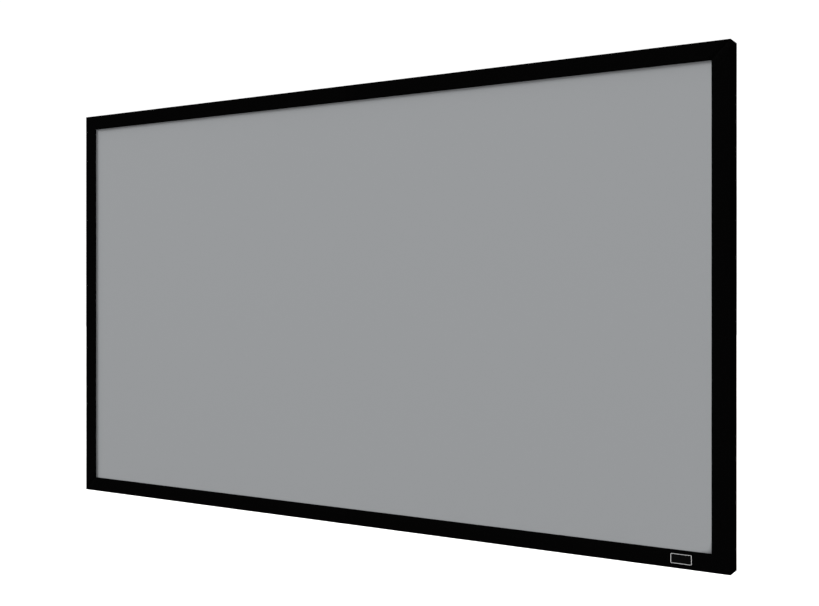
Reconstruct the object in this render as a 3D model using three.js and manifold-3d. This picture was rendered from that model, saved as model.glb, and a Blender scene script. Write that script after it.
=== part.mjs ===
// A fixed frame projection screen: a velvet-faced aluminium frame with a grey projection fabric
// stretched inside it by springs, hung on a wall by five steel brackets.
// Lengths are millimetres. X runs to the viewer's right, Y runs into the wall and Z runs up.
// The origin is the middle of the top centre wall bracket's back face, on the wall.

import * as THREE from "three";
import { mergeVertices } from "three/addons/utils/BufferGeometryUtils.js";
import Module from "manifold-3d";

// The picture and the frame as a whole

const PICTURE_WIDTH = 2768; // a 16:9 picture, 125 inches across its diagonal
const PICTURE_HEIGHT = 1557;
const RAIL_FACE = 60; // width of the border, from the outer edge to the picture
const FRAME_DEPTH = 73; // from the velvet's front to the rails' rear edge
const WALL_GAP = 2; // from the rails' rear edge to the wall
const MITRE_GAP = 0.3; // left between two rails where they meet
const SEAT_GAP = 0.3; // left between any piece and what it rests on

// The aluminium rail and its channels

const RAIL_WALL = 1.8;
const CHANNEL_WIDTH = 17; // clear width of the box and of the joining channel behind it
const BOX_DEPTH = 28; // from the box chamber's front wall to the channel's floor
const CHANNEL_DEPTH = 6.2; // from the channel's floor to its lips
const CHANNEL_LIP = 4;
const CHANNEL_SETBACK = 15; // from the rail's rear edge forward to the channel's lips
const RIB_SETBACK = 0.5; // from the fabric's front to the tip of the rib that the springs hook over
const REAR_FLANGE = 8.1; // how far the rear flange reaches in from the side wall
const RAIL_CORNER_RADIUS = 0.9;

// The velvet that is glued over each rail

const VELVET = 0.8;
const GLUE = 0.3;
const LIP_INNER_RADIUS = 0.4; // inside the velvet where it turns round the lip
const LIP_RETURN = 12; // how far the velvet goes back behind the inner lip
const VELVET_REAR_MARGIN = 0.5; // bare metal left along the rail's rear edge

// The fabric, the rods in its hems and the springs that stretch it

const SCREEN_SETBACK = 7; // from the velvet's front to the fabric's front
const FABRIC = 0.5;
const ROD_RADIUS = 2.5;
const ROD_SETBACK = 16; // from the picture's edge out to the rod's centre
const ROD_END = 72; // from the frame's outer corner to the rod's end
const HEM_SLACK = 0.3; // between the rod and the hem around it
const HEM_WELD = 14; // from the rod's centre to the inner end of the hem's weld
const HEM_LEAVES_ROD = 60; // the angle, in degrees, where the hem leaves the rod for its weld
const SHEET_OVERLAP = 10; // from the picture's edge out to the edge of the flat sheet between hems
const SPRING_SPACING = 190; // wanted distance between springs
const SPRING_END = 150; // from the frame's outer corner to the first spring
const SPRING_WIRE = 1.6;
const SPRING_RADIUS = 3.5;
const SPRING_COIL = 12;
const SPRING_HOOK_REACH = 4.5; // how far the hook goes back behind the rib's tip
const HEM_WINDOW = 6; // width of the hem's window for each spring

// Corner plates, splice plates and their set screws

const PLATE_THICKNESS = 4;
const PLATE_SIDE_GAP = 0.4;
const CORNER_LEG = 130; // from the frame's outer corner to the end of a leg
const CORNER_FIRST_SCREW = 50; // from the frame's outer corner to the first screw along a leg
const SPLICE_LENGTH = 240;
const SPLICE_FIRST_SCREW = 45; // from the joint between two half rails
const PLATE_END_MARGIN = 20; // from the last screw to the end of a leg or a splice plate
const SET_SCREW_RADIUS = 2.5;
const SET_SCREW_PROUD = 0.8;
const SOCKET_RADIUS = 1.45; // centre to corner of the hexagon socket
const SOCKET_DEPTH = 2.6;
const HOLE_GAP = 0.3; // between a screw and the hole it stands in

// The upright bar behind the fabric and its two feet

const BAR_WIDTH = 40;
const BAR_DEPTH = 18;
const BAR_WALL = 1.6;
const FOOT_THICKNESS = 2.5;
const FOOT_CORNER = 4;
const FOOT_EDGE_INSET = 1.1; // from the channel's outer side to the foot's end
const FOOT_MARGIN = 16; // from the screw in the bar to the foot's other end
const BAR_SCREW_FROM_END = 28;
const PAN_HEAD_RADIUS = 4.7;
const PAN_HEAD_HEIGHT = 2.6;
const PAN_SHANK_RADIUS = 2.5;
const PAN_SHANK_LENGTH = 9.5;

// The wall brackets

const BRACKET_WIDTH = 64;
const BRACKET_STEEL = 3;
const TONGUE_GAP = 2.2; // from the tongue back to the rear flange
const STEP_GAP = 2; // from the rear flange's edge to the step
const BRACKET_MARGIN = 20; // from the slots' middle to the plate's far end
const BRACKET_BEND = 0.5; // inner radius of its bends
const SLOT_INSET = 36; // from the frame's outer edge to the screw slots
const SLOT_SPREAD = 34; // between the two slots
const SLOT_LENGTH = 13;
const SLOT_WIDTH = 7;
const SIDE_BRACKET_OFFSET = 1050; // from the frame's middle to the left and right brackets

// The badge on the bottom rail

const BADGE_WIDTH = 68;
const BADGE_HEIGHT = 31;
const BADGE_BASE = 0.9;
const BADGE_RIM = 0.6;
const BADGE_RIM_WIDTH = 1.1;
const BADGE_CORNER = 3;
const BADGE_FROM_SIDE = 157; // from the frame's right edge to the badge's middle
const BADGE_FROM_BOTTOM = 32; // from the frame's bottom edge to the badge's middle

// Sizes that follow from those above

const OUTER_WIDTH = PICTURE_WIDTH + 2 * RAIL_FACE;
const OUTER_HEIGHT = PICTURE_HEIGHT + 2 * RAIL_FACE;
const FRONT_Y = -(FRAME_DEPTH + WALL_GAP);
const TOP_Z = SLOT_INSET;
const MIDDLE_Z = TOP_Z - OUTER_HEIGHT / 2;
const WALL_DEPTH = FRAME_DEPTH + WALL_GAP;
const SKIN = VELVET + GLUE; // from the velvet's outside to the metal
const CHANNEL_OUTER = SKIN + RAIL_WALL; // inset of the channel's outer side
const CHANNEL_INNER = CHANNEL_OUTER + CHANNEL_WIDTH;
const RIB_INNER = CHANNEL_INNER + RAIL_WALL; // inset of the rail's inner wall, seen from the picture
const CHANNEL_MIDDLE = CHANNEL_OUTER + CHANNEL_WIDTH / 2;
const CHANNEL_REAR = FRAME_DEPTH - CHANNEL_SETBACK;
const CHANNEL_LIP_FRONT = CHANNEL_REAR - RAIL_WALL;
const CHANNEL_FLOOR = CHANNEL_LIP_FRONT - CHANNEL_DEPTH;
const BOX_FRONT = CHANNEL_FLOOR - BOX_DEPTH;
const RIB_TIP = SCREEN_SETBACK + RIB_SETBACK;
const FLANGE_END = CHANNEL_OUTER + REAR_FLANGE;
const PLATE_BACK = CHANNEL_LIP_FRONT - SEAT_GAP;
const PLATE_FRONT = PLATE_BACK - PLATE_THICKNESS;
const CORNER_SCREWS = [CORNER_FIRST_SCREW, CORNER_LEG - PLATE_END_MARGIN];
const SPLICE_LAST_SCREW = SPLICE_LENGTH / 2 - PLATE_END_MARGIN;
const SPLICE_SCREWS = [-SPLICE_LAST_SCREW, -SPLICE_FIRST_SCREW, SPLICE_FIRST_SCREW, SPLICE_LAST_SCREW];
const ROD_INSET = RAIL_FACE - ROD_SETBACK;
const HEM_INNER_RADIUS = ROD_RADIUS + HEM_SLACK;
const ROD_DEPTH = SCREEN_SETBACK + FABRIC + HEM_INNER_RADIUS;
const SHEET_INSET = RAIL_FACE - SHEET_OVERLAP;
const BAR_INSET = RIB_INNER + SEAT_GAP;
const BAR_SCREW_INSET = BAR_INSET + BAR_SCREW_FROM_END;
const FOOT_INSET = CHANNEL_OUTER + FOOT_EDGE_INSET;
const FOOT_LENGTH = BAR_SCREW_INSET + FOOT_MARGIN - FOOT_INSET;
const FOOT_FRONT = CHANNEL_REAR + SEAT_GAP;
const FOOT_BACK = FOOT_FRONT + FOOT_THICKNESS;

const wasm = await Module();
wasm.setup();

// Colours and finishes

const velvetBlack = new THREE.MeshStandardMaterial({ color: 0x060606, roughness: 1, metalness: 0 });
const anodised = new THREE.MeshStandardMaterial({ color: 0xc3c5c7, roughness: 0.4, metalness: 1 });
const screenGrey = new THREE.MeshStandardMaterial({ color: 0x97999b, roughness: 0.9, metalness: 0 });
const zincSteel = new THREE.MeshStandardMaterial({ color: 0xb4b6b8, roughness: 0.4, metalness: 1 });
const blackSteel = new THREE.MeshStandardMaterial({ color: 0x1c1c1d, roughness: 0.55, metalness: 0.4 });
const springSteel = new THREE.MeshStandardMaterial({ color: 0xc4c5c6, roughness: 0.3, metalness: 1 });
const badgeMetal = new THREE.MeshStandardMaterial({ color: 0x8f8f8f, roughness: 0.3, metalness: 1 });

// Turning geometry into solids that can be joined and cut, and back

function toSolid(geometry) {
  const bare = new THREE.BufferGeometry();
  bare.setAttribute("position", geometry.getAttribute("position"));
  if (geometry.index) bare.setIndex(geometry.index);
  const merged = mergeVertices(bare, 1e-4);
  return new wasm.Manifold(
    new wasm.Mesh({
      numProp: 3,
      vertProperties: new Float32Array(merged.getAttribute("position").array),
      triVerts: new Uint32Array(merged.index.array),
    }),
  );
}

function toGeometry(solid) {
  const mesh = solid.getMesh();
  const geometry = new THREE.BufferGeometry();
  geometry.setAttribute("position", new THREE.BufferAttribute(new Float32Array(mesh.vertProperties), 3));
  geometry.setIndex(new THREE.BufferAttribute(new Uint32Array(mesh.triVerts), 1));
  const faceted = geometry.toNonIndexed();
  faceted.computeVertexNormals();
  return faceted;
}

function joined(pieces) {
  return pieces.reduce((whole, piece) => whole.add(piece));
}

function named(name, geometry, material) {
  const mesh = new THREE.Mesh(geometry, material);
  mesh.name = name;
  return mesh;
}

// Drawing sections. A rail section is drawn as inset from the frame's outer edge across and depth
// from the velvet's front upwards.

function polygon(points, holes = []) {
  const outline = points.map(([a, b]) => new THREE.Vector2(a, b));
  if (THREE.ShapeUtils.isClockWise(outline)) outline.reverse();
  const shape = new THREE.Shape(outline);
  for (const hole of holes) shape.holes.push(new THREE.Path(hole.map(([a, b]) => new THREE.Vector2(a, b))));
  return shape;
}

function arc(centreA, centreB, radius, fromDegrees, toDegrees, segments) {
  const points = [];
  for (let i = 0; i <= segments; i++) {
    const angle = THREE.MathUtils.degToRad(fromDegrees + ((toDegrees - fromDegrees) * i) / segments);
    points.push([centreA + radius * Math.cos(angle), centreB + radius * Math.sin(angle)]);
  }
  return points;
}

function roundedRectangle(halfWidth, halfHeight, radius, segments) {
  const a = halfWidth - radius;
  const b = halfHeight - radius;
  return [
    ...arc(a, b, radius, 0, 90, segments),
    ...arc(-a, b, radius, 90, 180, segments),
    ...arc(-a, -b, radius, 180, 270, segments),
    ...arc(a, -b, radius, 270, 360, segments),
  ];
}

function circle(centreA, centreB, radius, sides) {
  return arc(centreA, centreB, radius, 0, 360 - 360 / sides, sides - 1);
}

// Carries a rail section along the rail from x0 to x1. Along a mitred end, a point inset by some
// distance stops that distance short of the corner.
function alongRail(section, x0, x1, mitreStart = false, mitreEnd = false) {
  const length = x1 - x0;
  const geometry = new THREE.ExtrudeGeometry(section, { depth: length, bevelEnabled: false });
  const position = geometry.getAttribute("position");
  for (let i = 0; i < position.count; i++) {
    const inset = position.getX(i);
    const atEnd = position.getZ(i) > length / 2;
    let x = atEnd ? x1 : x0;
    if (atEnd && mitreEnd) x -= inset;
    if (!atEnd && mitreStart) x += inset;
    position.setXYZ(i, x, position.getY(i), -inset);
  }
  geometry.computeVertexNormals();
  return geometry;
}

// A flat plate, drawn as distance along the rail across and inset upwards, from one depth to another.
function plateFacingBack(shape, frontDepth, backDepth) {
  const geometry = new THREE.ExtrudeGeometry(shape, { depth: backDepth - frontDepth, bevelEnabled: false });
  geometry.rotateX(-Math.PI / 2);
  geometry.translate(0, frontDepth, 0);
  return geometry;
}

// The rail: a face, a side skirt, a box chamber, a joining channel open to the back, a rib for the
// springs and a rear flange that the wall brackets hold
function railSection() {
  const lipEnd = RAIL_FACE - SKIN;
  const cornerCentre = SKIN + RAIL_CORNER_RADIUS;
  const corner = arc(cornerCentre, cornerCentre, RAIL_CORNER_RADIUS, 180, 270, 3);
  const faceBack = SKIN + RAIL_WALL;
  const lipInner = CHANNEL_INNER - CHANNEL_LIP;
  const lipOuter = CHANNEL_OUTER + CHANNEL_LIP;
  const outline = [
    ...corner,
    [lipEnd, SKIN],
    [lipEnd, faceBack],
    [CHANNEL_OUTER, faceBack],
    [CHANNEL_OUTER, BOX_FRONT],
    [CHANNEL_INNER, BOX_FRONT],
    [CHANNEL_INNER, RIB_TIP],
    [RIB_INNER, RIB_TIP],
    [RIB_INNER, CHANNEL_REAR],
    [lipInner, CHANNEL_REAR],
    [lipInner, CHANNEL_LIP_FRONT],
    [CHANNEL_INNER, CHANNEL_LIP_FRONT],
    [CHANNEL_INNER, CHANNEL_FLOOR],
    [CHANNEL_OUTER, CHANNEL_FLOOR],
    [CHANNEL_OUTER, CHANNEL_LIP_FRONT],
    [lipOuter, CHANNEL_LIP_FRONT],
    [lipOuter, CHANNEL_REAR],
    [CHANNEL_OUTER, CHANNEL_REAR],
    [CHANNEL_OUTER, FRAME_DEPTH - RAIL_WALL],
    [FLANGE_END, FRAME_DEPTH - RAIL_WALL],
    [FLANGE_END, FRAME_DEPTH],
    [SKIN, FRAME_DEPTH],
  ];
  const chamber = [
    [CHANNEL_OUTER, BOX_FRONT + RAIL_WALL],
    [CHANNEL_INNER, BOX_FRONT + RAIL_WALL],
    [CHANNEL_INNER, CHANNEL_FLOOR - RAIL_WALL],
    [CHANNEL_OUTER, CHANNEL_FLOOR - RAIL_WALL],
  ];
  return polygon(outline, [chamber]);
}

// The velvet: one strip that covers the skirt and the face and turns back behind the inner lip
function velvetSection() {
  const rear = FRAME_DEPTH - VELVET_REAR_MARGIN;
  const radius = SKIN + RAIL_CORNER_RADIUS;
  const lipRadius = LIP_INNER_RADIUS + VELVET;
  const lipBack = 2 * SKIN + RAIL_WALL;
  const lipCentre = RAIL_FACE - lipRadius;
  const returnEnd = RAIL_FACE - LIP_RETURN;
  const outside = [
    [0, rear],
    ...arc(radius, radius, radius, 180, 270, 4),
    ...arc(lipCentre, lipRadius, lipRadius, 270, 360, 2),
    ...arc(lipCentre, lipBack - lipRadius, lipRadius, 0, 90, 2),
    [returnEnd, lipBack],
  ];
  const inside = [
    [returnEnd, lipBack - VELVET],
    ...arc(lipCentre, lipBack - lipRadius, LIP_INNER_RADIUS, 90, 0, 2),
    ...arc(lipCentre, lipRadius, LIP_INNER_RADIUS, 360, 270, 2),
    ...arc(radius, radius, radius - VELVET, 270, 180, 4),
    [VELVET, rear],
  ];
  return polygon([...outside, ...inside]);
}

// The springs stand evenly along a side, an even number of them, so none is at the middle.
function springPlaces(sideLength) {
  const run = sideLength - 2 * SPRING_END;
  const count = 2 * Math.max(1, Math.round(run / SPRING_SPACING / 2));
  return Array.from({ length: count }, (_, i) => -run / 2 + (run * i) / (count - 1));
}

// A spring's two ends as one bent wire: from the rod, through the coil, over the rib's tip
function springWireSection() {
  const half = SPRING_WIRE / 2;
  const innerFace = RIB_INNER + SEAT_GAP;
  const outerFace = CHANNEL_INNER - SEAT_GAP;
  const overTip = RIB_TIP - SEAT_GAP;
  const hookEnd = RIB_TIP + SPRING_HOOK_REACH;
  return polygon([
    [ROD_INSET, ROD_DEPTH - half],
    [innerFace + SPRING_WIRE, ROD_DEPTH - half],
    [innerFace + SPRING_WIRE, overTip - SPRING_WIRE],
    [outerFace - SPRING_WIRE, overTip - SPRING_WIRE],
    [outerFace - SPRING_WIRE, hookEnd],
    [outerFace, hookEnd],
    [outerFace, overTip],
    [innerFace, overTip],
    [innerFace, ROD_DEPTH + half],
    [ROD_INSET, ROD_DEPTH + half],
  ]);
}

// A tension rod with the springs that hold it, as one solid
function rodWithSprings(sideLength) {
  const halfRod = sideLength / 2 - ROD_END;
  const rodOutline = circle(ROD_INSET, ROD_DEPTH, ROD_RADIUS, 10);
  const rod = toSolid(alongRail(polygon(rodOutline), -halfRod, halfRod));
  const coilMiddle = (RIB_INNER + SPRING_WIRE + ROD_INSET - ROD_RADIUS) / 2;
  const springs = springPlaces(sideLength).map((x) => {
    const wire = alongRail(springWireSection(), x - SPRING_WIRE / 2, x + SPRING_WIRE / 2);
    const coil = new THREE.CylinderGeometry(SPRING_RADIUS, SPRING_RADIUS, SPRING_COIL, 8);
    coil.rotateX(Math.PI / 2);
    coil.translate(x, ROD_DEPTH, -coilMiddle);
    return toSolid(wire).add(toSolid(coil));
  });
  return toGeometry(joined([rod, ...springs]));
}

// The hem: the fabric goes round the rod and is welded to its own back
function hemSection() {
  const outer = HEM_INNER_RADIUS + FABRIC;
  const sheetBack = SCREEN_SETBACK + FABRIC;
  const weldEnd = ROD_INSET + HEM_WELD;
  const weldStart = weldEnd - 3;
  const outline = [
    [weldEnd, SCREEN_SETBACK],
    ...arc(ROD_INSET, ROD_DEPTH, outer, 270, HEM_LEAVES_ROD, 8),
    [weldStart, sheetBack + FABRIC],
    [weldEnd, sheetBack + FABRIC],
  ];
  const pocket = [
    ...arc(ROD_INSET, ROD_DEPTH, HEM_INNER_RADIUS, 270, HEM_LEAVES_ROD, 8),
    [weldStart - 1, sheetBack],
  ];
  return polygon(outline, [pocket]);
}

// One side's hem, with a window for each spring, in that side's own frame
function hem(sideLength) {
  const halfHem = sideLength / 2 - ROD_END - SEAT_GAP;
  const tube = toSolid(alongRail(hemSection(), -halfHem, halfHem));
  const halfWindow = HEM_WINDOW / 2;
  const windowSection = polygon([
    [ROD_INSET - 2 * ROD_RADIUS, ROD_DEPTH - SPRING_WIRE],
    [ROD_INSET - HEM_SLACK, ROD_DEPTH - SPRING_WIRE],
    [ROD_INSET - HEM_SLACK, ROD_DEPTH + SPRING_WIRE],
    [ROD_INSET - 2 * ROD_RADIUS, ROD_DEPTH + SPRING_WIRE],
  ]);
  const windows = springPlaces(sideLength).map((x) =>
    toSolid(alongRail(windowSection, x - halfWindow, x + halfWindow)),
  );
  return tube.subtract(joined(windows));
}

// The L-shaped plate that slides into two rails' channels, drawn from the frame's outer corner
function cornerPlate() {
  const near = CHANNEL_OUTER + PLATE_SIDE_GAP;
  const far = CHANNEL_INNER - PLATE_SIDE_GAP;
  const hole = SET_SCREW_RADIUS + HOLE_GAP;
  const outline = [
    [near, near],
    [CORNER_LEG, near],
    [CORNER_LEG, far],
    [far, far],
    [far, CORNER_LEG],
    [near, CORNER_LEG],
  ];
  const holes = CORNER_SCREWS.flatMap((along) => [
    circle(along, CHANNEL_MIDDLE, hole, 12),
    circle(CHANNEL_MIDDLE, along, hole, 12),
  ]);
  return plateFacingBack(polygon(outline, holes), PLATE_FRONT, PLATE_BACK);
}

// The straight plate that joins two half rails, with a fifth hole for the bar's foot
function splicePlate() {
  const near = CHANNEL_OUTER + PLATE_SIDE_GAP;
  const far = CHANNEL_INNER - PLATE_SIDE_GAP;
  const half = SPLICE_LENGTH / 2;
  const outline = [
    [-half, near],
    [half, near],
    [half, far],
    [-half, far],
  ];
  const holes = SPLICE_SCREWS.map((x) => circle(x, CHANNEL_MIDDLE, SET_SCREW_RADIUS + HOLE_GAP, 12));
  holes.push(circle(0, CHANNEL_MIDDLE, PAN_SHANK_RADIUS + HOLE_GAP, 12));
  return plateFacingBack(polygon(outline, holes), PLATE_FRONT, PLATE_BACK);
}

// A headless screw with a hexagon socket, which jams its plate against the channel's lips
function setScrew() {
  const front = CHANNEL_FLOOR + SEAT_GAP;
  const back = PLATE_BACK + SET_SCREW_PROUD;
  const round = circle(0, 0, SET_SCREW_RADIUS, 12);
  const body = toSolid(plateFacingBack(polygon(round), front, back));
  const socket = plateFacingBack(polygon(circle(0, 0, SOCKET_RADIUS, 6)), back - SOCKET_DEPTH, back + 1);
  return toGeometry(body.subtract(toSolid(socket)));
}

// A pan head screw, drawn as radius and depth, with its seat at depth zero and its head behind it
function panHeadScrew() {
  const crown = PAN_HEAD_RADIUS / 3;
  const profile = [
    [0, -PAN_SHANK_LENGTH],
    [PAN_SHANK_RADIUS, -PAN_SHANK_LENGTH],
    [PAN_SHANK_RADIUS, 0],
    [PAN_HEAD_RADIUS, 0],
    ...arc(PAN_HEAD_RADIUS - crown, PAN_HEAD_HEIGHT - crown, crown, 0, 90, 3),
    [0, PAN_HEAD_HEIGHT],
  ];
  const body = new THREE.LatheGeometry(
    profile.map(([radius, depth]) => new THREE.Vector2(radius, depth)),
    12,
  );
  const socket = plateFacingBack(
    polygon(circle(0, 0, SOCKET_RADIUS, 6)),
    PAN_HEAD_HEIGHT - SOCKET_DEPTH,
    PAN_HEAD_HEIGHT + 1,
  );
  return toGeometry(toSolid(body).subtract(toSolid(socket)));
}

// The foot that ties the bar to a rail, in the rail's frame, with a hole for each of its screws
function barFoot() {
  const middle = FOOT_INSET + FOOT_LENGTH / 2;
  const outline = roundedRectangle(BAR_WIDTH / 2, FOOT_LENGTH / 2, FOOT_CORNER, 3);
  const holes = [CHANNEL_MIDDLE, BAR_SCREW_INSET].map((inset) =>
    circle(0, inset, PAN_SHANK_RADIUS + HOLE_GAP, 12),
  );
  const placed = outline.map(([x, inset]) => [x, inset + middle]);
  return plateFacingBack(polygon(placed, holes), FOOT_FRONT, FOOT_BACK);
}

// The upright tube, in the frame's own X and Y, with a hole near each end for its foot's screw
function uprightBar() {
  const bottom = TOP_Z - OUTER_HEIGHT + BAR_INSET;
  const top = TOP_Z - BAR_INSET;
  const back = FRONT_Y + CHANNEL_REAR;
  const front = back - BAR_DEPTH;
  const half = BAR_WIDTH / 2;
  const rectangle = (inset) => [
    [-half + inset, front + inset],
    [half - inset, front + inset],
    [half - inset, back - inset],
    [-half + inset, back - inset],
  ];
  const tube = new THREE.ExtrudeGeometry(polygon(rectangle(0), [rectangle(BAR_WALL)]), {
    depth: top - bottom,
    bevelEnabled: false,
  });
  tube.translate(0, 0, bottom);
  const bore = circle(0, 0, PAN_SHANK_RADIUS + HOLE_GAP, 12);
  const drill = plateFacingBack(polygon(bore), back - 2 * BAR_WALL, back + BAR_WALL);
  const drillTop = toSolid(drill).translate([0, 0, TOP_Z - BAR_SCREW_INSET]);
  const drillBottom = toSolid(drill).translate([0, 0, TOP_Z - OUTER_HEIGHT + BAR_SCREW_INSET]);
  return toGeometry(toSolid(tube).subtract(drillTop).subtract(drillBottom));
}

// The wall bracket in a rail's frame: a tongue inside the rear flange, a step and a plate on the wall
function wallBracket() {
  const tip = CHANNEL_OUTER + SEAT_GAP;
  const tongueBack = FRAME_DEPTH - RAIL_WALL - TONGUE_GAP;
  const tongueFront = tongueBack - BRACKET_STEEL;
  const plateFront = WALL_DEPTH - BRACKET_STEEL;
  const plateEnd = SLOT_INSET + BRACKET_MARGIN;
  const stepNear = FLANGE_END + STEP_GAP;
  const stepFar = stepNear + BRACKET_STEEL;
  const inner = BRACKET_BEND;
  const outer = BRACKET_BEND + BRACKET_STEEL;
  const section = polygon([
    [tip, tongueFront],
    ...arc(stepFar - outer, tongueFront + outer, outer, 270, 360, 4),
    ...arc(stepFar + inner, plateFront - inner, inner, 180, 90, 3),
    [plateEnd, plateFront],
    [plateEnd, WALL_DEPTH],
    ...arc(stepNear + outer, WALL_DEPTH - outer, outer, 90, 180, 4),
    ...arc(stepNear - inner, tongueBack + inner, inner, 360, 270, 3),
    [tip, tongueBack],
  ]);
  const strip = toSolid(alongRail(section, -BRACKET_WIDTH / 2, BRACKET_WIDTH / 2));
  const slots = [-1, 1].map((side) => {
    const outline = roundedRectangle(SLOT_LENGTH / 2, SLOT_WIDTH / 2, SLOT_WIDTH / 2, 4);
    const placed = outline.map(([x, inset]) => [x + (side * SLOT_SPREAD) / 2, inset + SLOT_INSET]);
    return toSolid(plateFacingBack(polygon(placed), plateFront - 1, WALL_DEPTH + 1));
  });
  return toGeometry(strip.subtract(joined(slots)));
}

// The badge: a plain plate with a raised rim, in the frame's own X and Z, face towards the viewer
function badgePlate() {
  const outline = roundedRectangle(BADGE_WIDTH / 2, BADGE_HEIGHT / 2, BADGE_CORNER, 4);
  const field = roundedRectangle(
    BADGE_WIDTH / 2 - BADGE_RIM_WIDTH,
    BADGE_HEIGHT / 2 - BADGE_RIM_WIDTH,
    BADGE_CORNER / 2,
    4,
  );
  const base = toSolid(plateFacingBack(polygon(outline), -BADGE_BASE, 0));
  const rim = toSolid(plateFacingBack(polygon(outline, [field]), -BADGE_BASE - BADGE_RIM, -BADGE_BASE));
  return toGeometry(base.add(rim));
}

// The four sides. Each one's own frame has X along the rail, Y as depth from the velvet's front and
// Z out of the frame, with its origin at the middle of the outer edge.

const SIDES = [
  { name: "top", length: OUTER_WIDTH, x: 0, z: TOP_Z, turn: 0 },
  { name: "right", length: OUTER_HEIGHT, x: OUTER_WIDTH / 2, z: MIDDLE_Z, turn: Math.PI / 2 },
  { name: "bottom", length: OUTER_WIDTH, x: 0, z: TOP_Z - OUTER_HEIGHT, turn: Math.PI },
  { name: "left", length: OUTER_HEIGHT, x: -OUTER_WIDTH / 2, z: MIDDLE_Z, turn: -Math.PI / 2 },
];
const HALVES = { top: ["top_left", "top_right"], bottom: ["bottom_right", "bottom_left"] };
const CORNER_AT_START = { top: "top_left", right: "top_right", bottom: "bottom_right", left: "bottom_left" };

function sideGroup(side) {
  const group = new THREE.Group();
  group.position.set(side.x, FRONT_Y, side.z);
  group.rotation.y = side.turn;
  group.updateMatrix();
  return group;
}

// A side's rail and velvet: whole on the left and right, in two halves along the top and bottom
function addRails(group, side) {
  const end = side.length / 2 - MITRE_GAP / 2;
  const seam = MITRE_GAP / 2;
  const halves = HALVES[side.name];
  const runs = halves
    ? [
        { name: halves[0], from: -end, to: -seam, start: true, end: false },
        { name: halves[1], from: seam, to: end, start: false, end: true },
      ]
    : [{ name: side.name, from: -end, to: end, start: true, end: true }];
  for (const run of runs) {
    const rail = alongRail(railSection(), run.from, run.to, run.start, run.end);
    const velvet = alongRail(velvetSection(), run.from, run.to, run.start, run.end);
    group.add(named(`rail_${run.name}`, rail, anodised));
    group.add(named(`velvet_${run.name}`, velvet, velvetBlack));
  }
}

function addSetScrew(group, name, x, inset) {
  const screw = named(name, setScrew(), blackSteel);
  screw.position.set(x, 0, -inset);
  group.add(screw);
}

function addCorner(group, side) {
  const corner = CORNER_AT_START[side.name];
  const cornerX = -side.length / 2;
  const plate = named(`corner_plate_${corner}`, cornerPlate(), zincSteel);
  plate.position.x = cornerX;
  group.add(plate);
  CORNER_SCREWS.forEach((along, i) => {
    addSetScrew(group, `set_screw_${corner}_a${i + 1}`, cornerX + along, CHANNEL_MIDDLE);
    addSetScrew(group, `set_screw_${corner}_b${i + 1}`, cornerX + CHANNEL_MIDDLE, along);
  });
}

function addSplice(group, side) {
  group.add(named(`splice_plate_${side.name}`, splicePlate(), zincSteel));
  SPLICE_SCREWS.forEach((x, i) => {
    addSetScrew(group, `set_screw_splice_${side.name}_${i + 1}`, x, CHANNEL_MIDDLE);
  });
}

function addFoot(group, side) {
  group.add(named(`bar_foot_${side.name}`, barFoot(), blackSteel));
  const places = { rail: CHANNEL_MIDDLE, bar: BAR_SCREW_INSET };
  for (const [where, inset] of Object.entries(places)) {
    const screw = named(`foot_screw_${side.name}_${where}`, panHeadScrew(), zincSteel);
    screw.position.set(0, FOOT_BACK + SEAT_GAP, -inset);
    group.add(screw);
  }
}

function addBrackets(group, places) {
  for (const [name, x] of Object.entries(places)) {
    const bracket = named(`wall_bracket_${name}`, wallBracket(), blackSteel);
    bracket.position.x = x;
    group.add(bracket);
  }
}

const screen = new THREE.Group();
const sheetHalfWidth = OUTER_WIDTH / 2 - SHEET_INSET;
const sheetHalfHeight = OUTER_HEIGHT / 2 - SHEET_INSET;
const sheet = new THREE.BoxGeometry(2 * sheetHalfWidth, FABRIC, 2 * sheetHalfHeight);
sheet.translate(0, FRONT_Y + SCREEN_SETBACK + FABRIC / 2, MIDDLE_Z);
let fabric = toSolid(sheet);

for (const side of SIDES) {
  const group = sideGroup(side);
  addRails(group, side);
  addCorner(group, side);
  group.add(named(`tension_rod_${side.name}`, rodWithSprings(side.length), springSteel));
  if (HALVES[side.name]) {
    addSplice(group, side);
    addFoot(group, side);
  }
  if (side.name === "top") {
    addBrackets(group, { top_left: -SIDE_BRACKET_OFFSET, top_center: 0, top_right: SIDE_BRACKET_OFFSET });
  }
  if (side.name === "bottom") {
    addBrackets(group, { bottom_left: SIDE_BRACKET_OFFSET, bottom_right: -SIDE_BRACKET_OFFSET });
  }
  fabric = fabric.add(hem(side.length).transform(group.matrix.elements));
  screen.add(group);
}

screen.add(named("projection_fabric", toGeometry(fabric), screenGrey));
screen.add(named("support_bar", uprightBar(), anodised));

const badge = named("badge_plate", badgePlate(), badgeMetal);
badge.position.set(
  OUTER_WIDTH / 2 - BADGE_FROM_SIDE,
  FRONT_Y - SEAT_GAP,
  TOP_Z - OUTER_HEIGHT + BADGE_FROM_BOTTOM,
);
screen.add(badge);

export default screen;
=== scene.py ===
# %% [markdown]
# # A fixed frame projection screen
#
# A big grey projection fabric is pulled flat by springs inside a frame of aluminium rails. Black
# velvet covers the rails and swallows stray light. Steel brackets hold the frame on a wall.
#
# The frame's hard metal parts come ready made, at their real size. This lesson dresses them: it
# gives the metal its finish, and it makes the soft and the springy pieces as new surfaces, each
# worked out from a formula with numpy.

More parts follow.
